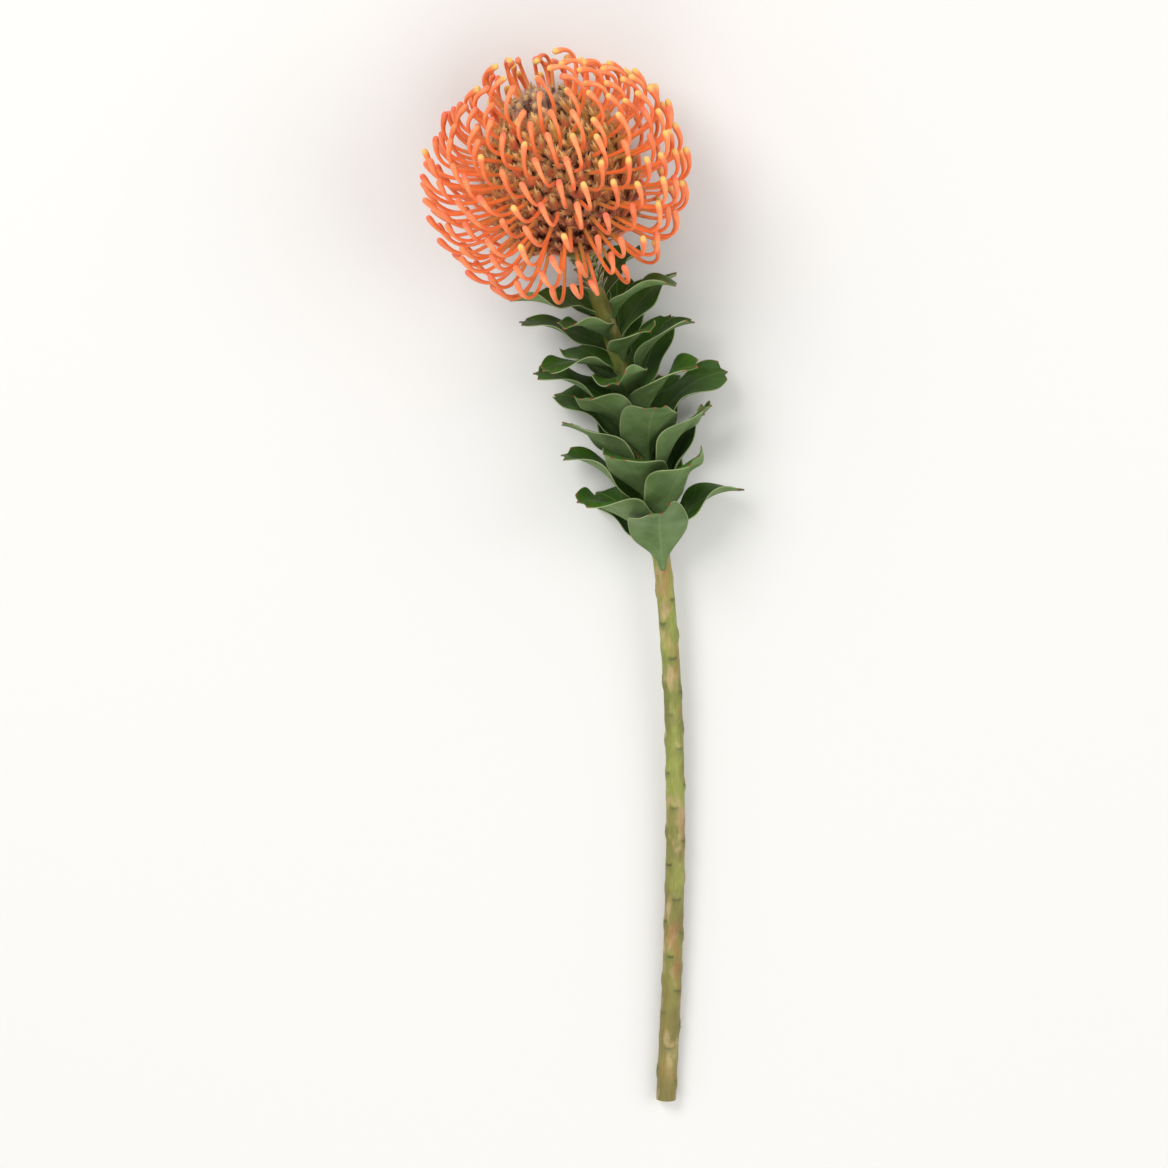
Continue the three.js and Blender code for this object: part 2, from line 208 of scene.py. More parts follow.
def fillInputs(tree, node, inputs):  # with links, numbers or hex colours
    for name, value in inputs.items():
        if isinstance(value, bpy.types.NodeSocket):
            tree.links.new(value, node.inputs[name])
        else:
            node.inputs[name].default_value = hexColor(value) if isinstance(value, str) else value


# Inputs come by name, or in order: a Map Range's are its value, from low, from high, to low and to high.
def addNode(tree, kind, settings, inputs):
    node = tree.nodes.new("ShaderNode" + kind)
    for name, value in settings.items():
        if name == "stops":
            ramp = node.color_ramp.elements
            while len(ramp) < len(value):
                ramp.new(1)
            for element, (position, color) in zip(ramp, value):
                element.position = position
                element.color = hexColor(color)
        else:
            setattr(node, name, value)
    if isinstance(inputs, tuple):
        inputs = dict(zip(mixInputs if kind == "Mix" else range(len(inputs)), inputs))
    fillInputs(tree, node, inputs)
    return node.outputs[usedOutputs.get(kind, 0)]


# Gives the material, what adds a node to it, what fills its shader's inputs, and what each attribute says.
def newMaterial(name, settings, *attributes):
    material = bpy.data.materials.new(name)
    material.use_nodes = True
    tree = material.node_tree
    add = partial(addNode, tree)
    dress = partial(fillInputs, tree, tree.nodes["Principled BSDF"])
    dress(settings)
    marks = [add("Attribute", {"attribute_name": attribute}, {}) for attribute in attributes]
    return material, add, dress, *marks


# Each piece is a little lighter or darker than the next, by its own shade from -1 to 1.
def varyPieces(add, color, shade, darkest, lightest):
    brightness = add("MapRange", {}, (shade, -1, 1, darkest, lightest))
    return add("HueSaturation", {}, {"Color": color, "Value": brightness})


# Style skin: smooth, waxy and a little translucent, so it has a soft highlight and glows at its edges.
def makeStyleSkin():
    look = {
        "roots": "#CB9448",
        "shaft": "#F5803C",
        "hook": "#F57A40",
        "knob": "#FA8F58",
        "pinkTip": "#EE664C",
        "yellowTip": "#EDCC6C",
        "sheen": "#FFC2B0",
        "blotchSize": 6 * mm,
        "grainSize": 0.5 * mm,
    }
    skin, add, dress, along, tan, shade, yellow = newMaterial("waxyStyleSkin", {
        "Roughness": 0.38,
        "IOR": 1.42,
        "Subsurface Weight": 0.12,
        "Subsurface Radius": (1, 0.5, 0.3),
        "Subsurface Scale": 0.6 * mm,
        "Sheen Weight": 0.35,
        "Sheen Roughness": 0.35,
        "Sheen Tint": look["sheen"],
        "Coat Weight": 0.15,
        "Coat Roughness": 0.3,
    }, "along", "tan", "shade", "yellow")
    coords = add("TexCoord", {}, {})
    length = add("ValToRGB", {"stops": [
        (0.16, look["roots"]), (0.4, look["shaft"]), (0.72, look["hook"]), (0.92, look["knob"]),
    ]}, (tan,))
    blotches = add("TexNoise", {}, {"Vector": coords, "Scale": 1 / look["blotchSize"], "Detail": 2})
    paler = add("Mix", softLight, (0.6, length, blotches))
    varied = varyPieces(add, paler, shade, 0.88, 1.14)
    tips = add("Mix", colorMix, (yellow, look["pinkTip"], look["yellowTip"]))
    tip = add("MapRange", smoothRange, (along, 0.92, 0.985, 0, 0.85))
    color = add("Mix", colorMix, (tip, varied, tips))
    grain = add("TexNoise", {}, {"Vector": coords, "Scale": 1 / look["grainSize"], "Detail": 2})
    bump = add("Bump", {}, {"Height": grain, "Strength": 0.25, "Distance": 0.1 * mm})
    dress({"Base Color": color, "Normal": bump})
    return skin


# Felted petals: thick and matt, with painted shade in brown at their feet down in the gaps, olive to pinkish
# tan further out and cream at the points.
def makeFelt():
    look = {
        # Painted shade: the colour given to each petal's foot, down in the gaps between the florets
        "gap": "#6E260A",
        "pink": "#CE5628",
        "tan": "#CE7A36",
        "olive": "#AE7E2A",
        "points": "#F3CA7C",
        "young": "#B0887E",
        "old": "#A23A1E",
        "blotchSize": 4 * mm,
        "feltSize": 0.4 * mm,  # real felt is finer, and would not show
    }
    felt, add, dress, along, age, shade, tint = newMaterial("feltedPetal", {
        "Roughness": 0.85,
        "IOR": 1.4,
        "Sheen Weight": 0.3,
        "Sheen Roughness": 0.5,
    }, "along", "age", "shade", "tint")
    coords = add("TexCoord", {}, {})
    blotches = add("TexNoise", {}, {"Vector": coords, "Scale": 1 / look["blotchSize"], "Detail": 3})
    hue = add("Math", timesPlus, (tint, 0.4, blotches))
    grown = add("ValToRGB", {"stops": [
        (0.25, look["pink"]), (0.5, look["tan"]), (0.72, look["olive"]),
    ]}, (hue,))
    youth = add("MapRange", {}, (age, 0.025, 0.065, 0.8, 0))
    young = add("Mix", colorMix, (youth, grown, look["young"]))
    aged = add("MapRange", {}, (age, 0.3, 0.75, 0, 0.68))
    old = add("Mix", colorMix, (aged, young, look["old"]))
    # Painted shade: the foot of each petal, down between the florets, is darkened to the gap colour.
    pastFootShade = add("MapRange", smoothRange, (along, 0.1, 0.45, 0, 1))
    footShaded = add("Mix", colorMix, (pastFootShade, look["gap"], old))
    atPoints = add("MapRange", smoothRange, (along, 0.62, 0.95, 0, 0.9))
    lessCream = add("MapRange", {}, (age, 0.35, 0.9, 1, 0.45))
    cream = add("Math", times, (atPoints, lessCream))
    pointed = add("Mix", colorMix, (cream, footShaded, look["points"]))
    varied = varyPieces(add, pointed, shade, 0.72, 1.18)
    nap = add("TexNoise", {}, {"Vector": coords, "Scale": 1 / look["feltSize"], "Detail": 4})
    bump = add("Bump", {}, {"Height": nap, "Strength": 0.6, "Distance": 0.3 * mm})
    dress({"Base Color": varied, "Normal": bump})
    return felt


# Silky hairs: fine and pale, so they catch light at the edges of what they grow on.
def makeSilk():
    look = {"grown": "#EEB66E", "young": "#C6A496", "old": "#CC7642"}
    silk, add, dress, age = newMaterial("silkyHair", {
        "Roughness": 0.55,
        "IOR": 1.5,
        "Sheen Weight": 0.3,
    }, "age")
    color = add("ValToRGB", {"stops": [
        (0.025, look["young"]), (0.075, look["grown"]), (0.35, look["grown"]), (0.8, look["old"]),
    ]}, (age,))
    dress({"Base Color": color})
    return silk


# Wool between the florets: matted, with painted shade in the low spots of its strands, so it reads as depth
# and not as a surface.
def makeMattedWool():
    look = {
        # Painted shade: the dark colour for the hollows between the strands
        "deep": "#561E08",
        "high": "#A05A1E",
        "highOld": "#8E3410",
        "woolSize": 1.2 * mm,  # real strands are finer, and would not show
    }
    wool, add, dress, age = newMaterial("mattedWool", {"Roughness": 0.95, "Sheen Weight": 0.2}, "age")
    coords = add("TexCoord", {}, {})
    strands = add("TexNoise", {}, {"Vector": coords, "Scale": 1 / look["woolSize"], "Detail": 5})
    aged = add("MapRange", {}, (age, 0.15, 0.6, 0, 1))
    high = add("Mix", colorMix, (aged, look["high"], look["highOld"]))
    # Painted shade: the low spots of the strand noise take the deep colour, and the raised ones take the
    # wool's own colour.
    outOfShade = add("MapRange", smoothRange, (strands, 0.35, 0.7, 0, 1))
    color = add("Mix", colorMix, (outOfShade, look["deep"], high))
    bump = add("Bump", {}, {"Height": strands, "Strength": 0.8, "Distance": 0.6 * mm})
    dress({"Base Color": color, "Normal": bump})
    return wool


# Leaf blade: leathery, dark and faintly glossy above, grey-green with bloom beneath, pale at its margin.
def makeLeafSkin():
    look = {
        "upper": "#2F4C18",
        "upperLight": "#42671D",
        "under": "#7A925E",
        "underDark": "#4D692F",
        "vein": "#869B5E",
        "margin": "#A9B280",
        "callus": "#8E4A34",
        "veinPairs": 8,
        "veinLean": 0.2,
        "veinWander": 0.06,
        "cloudSize": 14 * mm,
        "netSize": 1.6 * mm,
    }
    blade, add, dress, along, across, side, tooth, shade = newMaterial("leatheryLeafBlade", {
        "IOR": 1.4,
        "Specular IOR Level": 0.35,
        "Subsurface Weight": 0.05,
        "Subsurface Radius": (0.4, 1, 0.2),
        "Subsurface Scale": 0.6 * mm,
    }, "along", "across", "side", "tooth", "shade")
    coords = add("TexCoord", {}, {})
    clouds = add("TexNoise", {}, {"Vector": coords, "Scale": 1 / look["cloudSize"], "Detail": 4})
    upper = add("ValToRGB", {"stops": [(0.25, look["upper"]), (0.75, look["upperLight"])]}, (clouds,))
    under = add("ValToRGB", {"stops": [(0.22, look["underDark"]), (0.72, look["under"])]}, (clouds,))
    faces = add("Mix", colorMix, (side, upper, under))
    varied = varyPieces(add, faces, shade, 0.8, 1.15)
    halfAcross = add("Math", absolute, (across,))
    leaning = add("Math", timesPlus, (halfAcross, -look["veinLean"], along))
    wandering = add("Math", timesPlus, (clouds, look["veinWander"], leaning))
    pairs = add("Math", times, (wandering, look["veinPairs"]))
    saw = add("Math", {"operation": "FRACT"}, (pairs,))
    centred = add("Math", {"operation": "SUBTRACT"}, (saw, 0.5))
    fromVein = add("Math", absolute, (centred,))
    lateral = add("MapRange", smoothRange, (fromVein, 0, 0.1, 1, 0))
    midrib = add("MapRange", smoothRange, (halfAcross, 0.01, 0.06, 1, 0))
    faint = add("Math", times, (lateral, 0.3))
    veins = add("Math", {"operation": "MAXIMUM"}, (faint, midrib))
    veinShare = add("Math", times, (veins, 0.35))
    veined = add("Mix", colorMix, (veinShare, varied, look["vein"]))
    edge = add("MapRange", smoothRange, (halfAcross, 0.965, 0.99, 0, 0.75))
    edged = add("Mix", colorMix, (edge, veined, look["margin"]))
    color = add("Mix", colorMix, (tooth, edged, look["callus"]))
    roughness = add("MapRange", {}, (side, 0, 1, 0.46, 0.64))
    net = add("TexVoronoi", {"feature": "DISTANCE_TO_EDGE"}, {
        "Vector": coords, "Scale": 1 / look["netSize"],
    })
    relief = add("Math", timesPlus, (net, 0.25, lateral))
    bump = add("Bump", {}, {"Height": relief, "Strength": 0.35, "Distance": 0.25 * mm})
    dress({"Base Color": color, "Roughness": roughness, "Normal": bump})
    return blade


# Young bark: smooth and waxy, yellow-green with tan patches and a red blush, and a dark smudge at each scar.
def makeBark():
    look = {
        "green": "#8F9646",
        "greenDark": "#6B7534",
        "brown": "#7E6E3C",
        "pale": "#BAA074",
        "blush": "#A06242",
        "halo": "#6A6F36",
        "scar": "#3C3C1E",
        "speck": "#655F34",
        "cloud": (11 * mm, 26 * mm),  # width and length along the stem
        "streak": (0.8 * mm, 7 * mm),
        "speckSize": 2.6 * mm,
    }
    bark, add, dress, height, scar, halo = newMaterial("youngBark", {
        "Roughness": 0.52,
        "IOR": 1.45,
    }, "height", "scar", "halo")
    coords = add("TexCoord", {}, {})
    cloudSpace, streakSpace = [
        add("Mapping", {}, {"Vector": coords, "Scale": (1 / width, 1 / length, 1 / width)})
        for width, length in (look["cloud"], look["streak"])
    ]
    clouds = add("TexNoise", {}, {"Vector": cloudSpace, "Scale": 1, "Detail": 3})
    patches = add("TexNoise", {}, {"Vector": cloudSpace, "Scale": 1.7, "Detail": 3})
    flushes = add("TexNoise", {}, {"Vector": cloudSpace, "Scale": 0.8, "Detail": 4})
    streaks = add("TexNoise", {}, {"Vector": streakSpace, "Scale": 1, "Detail": 3})
    green = add("ValToRGB", {"stops": [(0.36, look["greenDark"]), (0.6, look["green"])]}, (clouds,))
    weathering = add("Math", timesPlus, (clouds, 0.7, height))
    age = add("MapRange", smoothRange, (weathering, 0.3, 0.95, 0.8, 0))
    base = add("Mix", colorMix, (age, green, look["brown"]))
    tan = add("MapRange", smoothRange, (patches, 0.5, 0.7, 0, 0.75))
    tanned = add("Mix", colorMix, (tan, base, look["pale"]))
    flush = add("MapRange", smoothRange, (flushes, 0.5, 0.72, 0, 0.75))
    lowDown = add("MapRange", {}, (height, 0.5, 0.8, 1, 0.25))
    flushShare = add("Math", times, (flush, lowDown))
    blushed = add("Mix", colorMix, (flushShare, tanned, look["blush"]))
    streaked = add("Mix", overlay, (0.28, blushed, streaks))
    specks = add("TexVoronoi", {}, {"Vector": coords, "Scale": 1 / look["speckSize"]})
    pores = add("MapRange", smoothRange, (specks, 0.06, 0.16, 0.5, 0))
    speckled = add("Mix", colorMix, (pores, streaked, look["speck"]))
    smudge = add("Math", times, (halo, 0.6))
    smudged = add("Mix", colorMix, (smudge, speckled, look["halo"]))
    darker = add("Math", times, (scar, 0.85))
    color = add("Mix", colorMix, (darker, smudged, look["scar"]))
    bump = add("Bump", {}, {"Height": streaks, "Strength": 0.25, "Distance": 0.15 * mm})
    dress({"Base Color": color, "Normal": bump})
    return bark


# Cut wood: moist and pale, with a green ring under the bark and a soft pith.
def makeCutWood():
    look = {
        "bark": "#7E7A48",
        "ring": "#B4BB6C",
        "wood": "#E6DCB0",
        "pith": "#B9A271",
        "grainSize": 0.35 * mm,  # real pores are finer, and would not show
    }
    wood, add, dress, depth = newMaterial("freshCutWood", {"Roughness": 0.6, "IOR": 1.45}, "depth")
    coords = add("TexCoord", {}, {})
    rings = add("ValToRGB", {"stops": [
        (0.04, look["bark"]), (0.12, look["ring"]), (0.24, look["wood"]), (0.7, look["wood"]),
        (0.85, look["pith"]),
    ]}, (depth,))
    grain = add("TexNoise", {}, {"Vector": coords, "Scale": 1 / look["grainSize"], "Detail": 3})
    fibrous = add("Mix", overlay, (0.35, rings, grain))
    bump = add("Bump", {}, {"Height": grain, "Strength": 0.5, "Distance": 0.2 * mm})
    dress({"Base Color": fibrous, "Normal": bump})
    return wood


# Bract skin: thin, dry and downy, olive with a rusty point.
def makeBractSkin():
    look = {
        "foot": "#7C8A58",
        "body": "#8F9768",
        "point": "#9A6A44",
        "edge": "#CFC7A0",
        "fleckSize": 1.2 * mm,
    }
    skin, add, dress, along, across = newMaterial("downyBract", {
        "Roughness": 0.75,
        "Sheen Weight": 0.4,
    }, "along", "across")
    coords = add("TexCoord", {}, {})
    length = add("ValToRGB", {"stops": [
        (0.2, look["foot"]), (0.6, look["body"]), (0.95, look["point"]),
    ]}, (along,))
    halfAcross = add("Math", absolute, (across,))
    edge = add("MapRange", {}, (halfAcross, 0.75, 1, 0, 0.7))
    edged = add("Mix", colorMix, (edge, length, look["edge"]))
    flecks = add("TexNoise", {}, {"Vector": coords, "Scale": 1 / look["fleckSize"], "Detail": 3})
    color = add("Mix", overlay, (0.5, edged, flecks))
    bump = add("Bump", {}, {"Height": flecks, "Strength": 0.4, "Distance": 0.2 * mm})
    dress({"Base Color": color, "Normal": bump})
    return skin


styleSkin = makeStyleSkin()
felt = makeFelt()
silk = makeSilk()
mattedWool = makeMattedWool()
leafSkin = makeLeafSkin()
bark = makeBark()
cutWood = makeCutWood()
bractSkin = makeBractSkin()
print("materials made")

# Stem: the line that it follows, from the cut up to the neck
stem = {
    "points": [  # millimetres
        (46.3, -300, 5.4),
        (49.8, -220.5, 8),
        (51.3, -141, 11.2),
        (49.3, -61.5, 15.4),
        (42.3, 18, 21.4),
        (27.8, 97.5, 31),
        (2.5, 177, 46.2),
    ],
    "cutRadius": 5.6 * mm,
    "topRadius": 4.5 * mm,
    "spiralTurn": 0.6,
    "sides": 48,
    "shootRings": 700,
    "neckRings": 60,
    "cutInsets": (0.05, 0.08, 0.12, 0.35, 0.15),
    "firstScarY": -290 * mm,
    "scarSpacing": 6.6 * mm,
    "scarHeight": 0.75 * mm,
    "scarReach": 5 * mm,
    "scarDepth": 0.3 * mm,
    "scarDepthShares": (0.4, 1),
    "scarWidth": 2.6 * mm,
    "scarFadesFrom": 0.6,
    "scarCurve": 0.13 / mm,
    "scarLine": 0.7 * mm,
    "scarLift": 1.2 * mm,
    "scarStray": 0.7 * mm,
    "scarSpread": 0.35,
    "haloSize": 2.4 * mm,
    "haloNarrowing": 0.7,
    "knobbliness": 0.2 * mm,
    "knobSize": 7 * mm,
    "knobRadius": 5 * mm,
    "footSwell": 0.7 * mm,
    "swellReach": 5 * mm,
}
stemLine = [Vector(point) * mm for point in stem["points"]]
cutY = stemLine[0].y
stemTopY = stemLine[-1].y


def stemPoint(share):
    place = clamp(share) * (len(stemLine) - 1)
    n = min(int(place), len(stemLine) - 2)
    w = place - n
    a, b = stemLine[n], stemLine[n + 1]
    before = stemLine[n - 1] if n > 0 else a * 2 - b
    after = stemLine[n + 2] if n + 2 < len(stemLine) else b * 2 - a
    leave, arrive = (b - before) / 2, (after - a) / 2
    square = (b - a) * 3 - leave * 2 - arrive
    cube = (a - b) * 2 + leave + arrive
    return a + leave * w + square * w * w + cube * w * w * w


def stemFrame(y):
    share = (y - cutY) / (stemTopY - cutY)
    step = 0.0001
    along = (stemPoint(share + step) - stemPoint(share - step)).normalized()
    right = along.cross(zAxis).normalized()
    up = right.cross(along).normalized()
    return SimpleNamespace(centre=stemPoint(share), along=along, right=right, up=up, share=share)


def stemRadius(share):
    return lerp(stem["cutRadius"], stem["topRadius"], share)


def spiralAngle(i):
    return i * goldenAngle + stem["spiralTurn"]


# Flower head
head = {
    "base": Vector((-1.7, 192, 50)) * mm,
    "leftLean": math.radians(16),
    "upTilt": math.radians(18),
    "halfWidth": 35 * mm,
    "lowerHalf": 36 * mm,
    "upperHalf": 50 * mm,
    "florets": 232,
    "budsAtApex": 7,
    "lastPolar": math.radians(146),
    "crowding": 1.3,
    "basePolar": math.radians(157),
}
headAxis = Vector((
    -math.sin(head["leftLean"]) * math.cos(head["upTilt"]),
    math.cos(head["leftLean"]) * math.cos(head["upTilt"]),
    math.sin(head["upTilt"]),
))
headRight = headAxis.cross(zAxis).normalized()
headUp = headRight.cross(headAxis).normalized()


def headDirection(radius, height, angle, sideways=0.0):
    cos, sin = math.cos(angle), math.sin(angle)
    across = headRight * (radius * cos - sideways * sin) + headUp * (radius * sin + sideways * cos)
    return headAxis * height + across


# From something that rises from the head at a slope: the way onwards, the way outwards and the way round.
def headWays(slope, angle):
    cos, sin = math.cos(slope), math.sin(slope)
    return headDirection(sin, cos, angle), headDirection(cos, -sin, angle), headDirection(0, 0, angle, 1)


def eggHalf(polar):
    return head["upperHalf"] if math.cos(polar) > 0 else head["lowerHalf"]


def eggRadius(polar):
    return 1 / math.hypot(math.cos(polar) / eggHalf(polar), math.sin(polar) / head["halfWidth"])


def eggSlope(polar):
    return math.atan2(math.sin(polar) / head["halfWidth"] ** 2, math.cos(polar) / eggHalf(polar) ** 2)


def eggRoot(polar, depth):  # how far from the head's axis and how high a root starts, this deep in the wool
    reach = eggRadius(polar) - depth
    return reach * math.sin(polar), head["lowerHalf"] + reach * math.cos(polar)


def eggPoint(polar, angle, proud=0.0):
    return head["base"] + headDirection(*eggRoot(polar, -proud), angle)


def floretPolar(k):
    share = ((k + 0.5) / head["florets"]) ** head["crowding"]
    return math.acos(lerp(1, math.cos(head["lastPolar"]), share))


def floretAngle(k):
    return k * goldenAngle


def floretAge(k):
    return k / head["florets"]


# Whatever hangs to the surface bends along it: the lower a point was, the lower it stays.
def restOnSurface(point, lowest):
    softness = 2.5 * mm
    above = (point.z - lowest) / softness
    free = above > 30  # so high that the bend is nothing
    point.z = lowest + softness * (above if free else math.log1p(math.exp(above)))
    return point


# Styles: one from each open floret, straight at first and hooked up towards the apex, with a knob at its end
style = {
    "length": 50 * mm,
    "apexLengthShare": 0.8,
    "lengthSpread": 0.07,
    "rootDepth": 7 * mm,
    "belowLump": 3.2 * mm,
    "apexPolar": 0.35,
    "openPolar": 1.5,
    "apexTip": -85,  # degrees, as are the next three
    "openTip": 6,
    "tipSpread": 12,
    "leaning": 12,
    "earlyBend": 0.2,
    "hookStart": 0.36,
    "hookEnd": 0.9,
    "sidewaysDrift": 4.5 * mm,
    "steps": 24,
    "sides": 6,
    "smoothingLoss": 1.15,
    "rings": [0, 0.2, 0.4, 0.52, 0.62, 0.71, 0.79, 0.855, 0.905, 0.95, 0.983, 1],
    "radii": [1.15, 1.15, 1.1, 1.08, 1.08, 1.12, 1.18, 1.45, 1.8, 2, 1.75, 0.85],  # millimetres at each ring
    "tanReach": 0.14,
    "yellowShare": 0.7,
    "yellowOnRight": 0.35,
    "yellowLostWithAge": 0.65,
    "yellowInPink": 0.15,
}


def stylePolar(k):  # a style and its petals stand a little below the middle of their floret
    return floretPolar(k) + style["belowLump"] / head["halfWidth"]


def stylePath(k):
    polar = stylePolar(k)
    openness = smoothstep(polar, style["apexPolar"], style["openPolar"])
    start = eggSlope(polar)
    tip = lerp(style["apexTip"], style["openTip"], openness) + style["tipSpread"] * jitter(k, 1)
    end = math.radians(tip - style["leaning"] * math.cos(floretAngle(k)))
    share = lerp(style["apexLengthShare"], 1, openness) * (1 + style["lengthSpread"] * jitter(k, 2))
    length = style["length"] * share
    drift = style["sidewaysDrift"] * jitter(k, 3)
    step = (length + style["rootDepth"]) / style["steps"]
    turns = []
    for n in range(style["steps"] + 1):
        outside = clamp((n * step - style["rootDepth"]) / length)
        hook = smoothstep(outside, style["hookStart"], style["hookEnd"])
        slope = lerp(start, end, style["earlyBend"] * outside + (1 - style["earlyBend"]) * hook)
        turns.append((slope, drift * outside * outside))
    return walkPath(*eggRoot(polar, style["rootDepth"]), step, turns)


def roundRod(centre, slope, angle, local, thick):
    _, outwards, sideways = headWays(slope, angle)
    return centre + (outwards * local.y - sideways * local.x) * thick * style["smoothingLoss"]


def makeStyles():
    first = head["budsAtApex"]
    count = head["florets"] - first
    paths = [stylePath(k) for k in range(first, head["florets"])]

    def ringAt(local):
        ring = round(local.z * (len(style["rings"]) - 1))
        return style["rings"][ring], style["radii"][ring] * mm

    def place(n, local):
        angle = floretAngle(n + first)
        share, thick = ringAt(local)
        radius, height, slope, sideways = pathAt(paths[n], share)
        centre = restOnSurface(head["base"] + headDirection(radius, height, angle, sideways), thick)
        point = roundRod(centre, slope, angle, local, thick)
        point.z = max(point.z, aboveTable)
        return point

    def yellow(n):
        chance = style["yellowShare"] + style["yellowOnRight"] * math.cos(floretAngle(n + first))
        chance -= style["yellowLostWithAge"] * floretAge(n + first)
        return 1 if draw(n, 5) < chance else style["yellowInPink"] * (1 + jitter(n, 10))

    marks = {
        "along": lambda n, local: ringAt(local)[0],
        "tan": lambda n, local: ringAt(local)[0] + style["tanReach"] * jitter(n, 4),
        "shade": lambda n, local: jitter(n, 4),
        "yellow": lambda n, local: yellow(n),
    }
    styles = repeatShape(rodTemplate(style["sides"], len(style["rings"]) - 1), count, place, marks)
    smoothen(finishPiece("styles", styles, [styleSkin], "styles", "flower_head"), 1)


# Florets: behind each style three woolly petals bend back to the apex, and a fourth one bends back below it
sidePetal = {
    "offset": 0.9 * mm, "length": 15.5 * mm, "halfWidth": 1.7 * mm, "bend": 80, "bendSpread": 16,
    "curl": 20, "curlSpread": 45, "towardsApex": 1, "arch": 0.9 * mm, "thickness": 0.9 * mm,
}
petal = {
    "upper": [
        {
            "salt": 1, "aside": 0, "offset": 0.8 * mm, "length": 18.5 * mm, "halfWidth": 2.2 * mm,
            "bend": 72, "bendSpread": 14, "curl": 15, "curlSpread": 45, "towardsApex": 1, "arch": 1.2 * mm,
            "thickness": 1.1 * mm,
        },
        {"salt": 2, "aside": 42, **sidePetal},
        {"salt": 3, "aside": -42, **sidePetal},
    ],
    "lower": [
        {
            "salt": 4, "aside": 0, "offset": 1 * mm, "length": 12 * mm, "halfWidth": 1.5 * mm,
            "bend": 95, "bendSpread": 25, "curl": 60, "curlSpread": 50, "towardsApex": -1, "arch": 0.7 * mm,
            "thickness": 0.8 * mm,
        },
    ],
    "sunk": 4 * mm,
    "lengthSpread": 0.14,
    "bendFrom": (0.17, 0.5),
    "curlFrom": (0.66, 1.05),
    "footWidth": 0.5,
    "widensTo": 0.45,
    "tipWidth": 0.5,
    "narrowsFrom": 0.65,
    "footArch": -0.4,
    "archGrows": (0.15, 0.5),
    "lobes": [0.88, 0.82, 1, 0.78, 0.94],
    "lobesFrom": 0.6,
    "lobeLift": 0.9 * mm,
    "lobesLiftFrom": 0.7,
    "rimShare": 0.4,
    "thinsFrom": 0.75,
    "pleat": 0.25 * mm,
    "turnAside": 20,
    "tintSpread": 0.6,
    "tintOnRight": 0.4,
    "steps": 16,
    "acrossCells": 4,
    "alongCells": 7,
}


# Where a petal of floret k stands: its foot on the head, the way out, the way to the apex and the way round.
def petalFrame(k, kind):
    polar = stylePolar(k)
    angle = floretAngle(k)
    out, downwards, sideways = headWays(eggSlope(polar), angle)
    aside = Quaternion(out, math.radians(kind["aside"] + petal["turnAside"] * jitter(k, 7)))
    return SimpleNamespace(
        foot=eggPoint(polar, angle),
        out=out,
        apexwards=aside @ -downwards,
        sideways=aside @ sideways,
        loose=jitter(k, 12 + kind["salt"]),
    )


def petalPath(k, kind):
    bend = math.radians(kind["bend"] + kind["bendSpread"] * jitter(k, 60 + kind["salt"]))
    curl = math.radians(kind["curl"] + kind["curlSpread"] * jitter(k, 70 + kind["salt"]))
    step = kind["length"] * (1 + petal["lengthSpread"] * jitter(k, 80 + kind["salt"])) / petal["steps"]
    turns = []
    for n in range(petal["steps"] + 1):
        share = n / petal["steps"]
        turned = bend * smoothstep(share, *petal["bendFrom"]) + curl * smoothstep(share, *petal["curlFrom"])
        turns.append((turned,))
    return walkPath(kind["offset"], -petal["sunk"], step, turns)


def petalList(kinds):
    return [
        SimpleNamespace(k=k, kind=kind, at=petalFrame(k, kind), path=petalPath(k, kind))
        for k in range(head["budsAtApex"], head["florets"]) for kind in kinds
    ]


def petalPoint(one, along, across):
    at, kind = one.at, one.kind
    end = along * rowAt(petal["lobes"], across)
    share = clamp(lerp(along, end, smoothstep(along, petal["lobesFrom"], 1)))
    forwards, outwards, turned = pathAt(one.path, share)
    width = kind["halfWidth"] * lerp(petal["footWidth"], 1, smoothstep(share, 0, petal["widensTo"]))
    width *= lerp(1, petal["tipWidth"], smoothstep(share, petal["narrowsFrom"], 1))
    arching = lerp(petal["footArch"], 1, smoothstep(share, *petal["archGrows"]))
    lifting = at.loose * math.cos(across * 2 * math.pi) * smoothstep(share, petal["lobesLiftFrom"], 1)
    drop = kind["arch"] * across * across * arching
    drop -= petal["pleat"] * math.cos(across * 3 * math.pi) + petal["lobeLift"] * lifting
    forwards += drop * math.cos(turned)
    outwards -= drop * math.sin(turned)
    towards = at.apexwards * kind["towardsApex"]
    return at.foot + towards * forwards + at.out * outwards + at.sideways * width * across


def makePetals(name, petals):
    def pointAt(n, along, across):
        return petalPoint(petals[n], along, across)

    def thicknessAt(n, along, across, side):
        plump = (1 - across**4) * (1 - smoothstep(along, petal["thinsFrom"], 1))
        return petals[n].kind["thickness"] * lerp(petal["rimShare"], 1, plump)

    def tint(n):
        k = petals[n].k
        return petal["tintSpread"] * jitter(k, 11) + petal["tintOnRight"] * math.cos(floretAngle(k))

    marks = {
        "along": lambda n, local: local.y,
        "age": lambda n, local: floretAge(petals[n].k),
        "shade": lambda n, local: jitter(n, 9),
        "tint": lambda n, local: tint(n),
    }
    template = bladeTemplate(petal["acrossCells"], petal["alongCells"])
    sheets = repeatShape(template, len(petals), bladePlace(pointAt, thicknessAt), marks)
    finishPiece(name, sheets, [felt], "floret_wool", "flower_head")


# Wool of the florets: each hair is a slim spike that lies along a petal's back and strays from it.
hairs = {
    "eachPetal": 70,
    "from": 0.3,
    "length": 2.6 * mm,
    "lengthSpread": 0.45,
    "radius": 0.1 * mm,  # coarser than real wool, so that it shows
    "onwards": 1.1,
    "outwards": 0.35,
    "backwards": 0.45,
    "sideways": 0.5,
    "atMargins": 0.7,
    "scatter": 0.45,
}


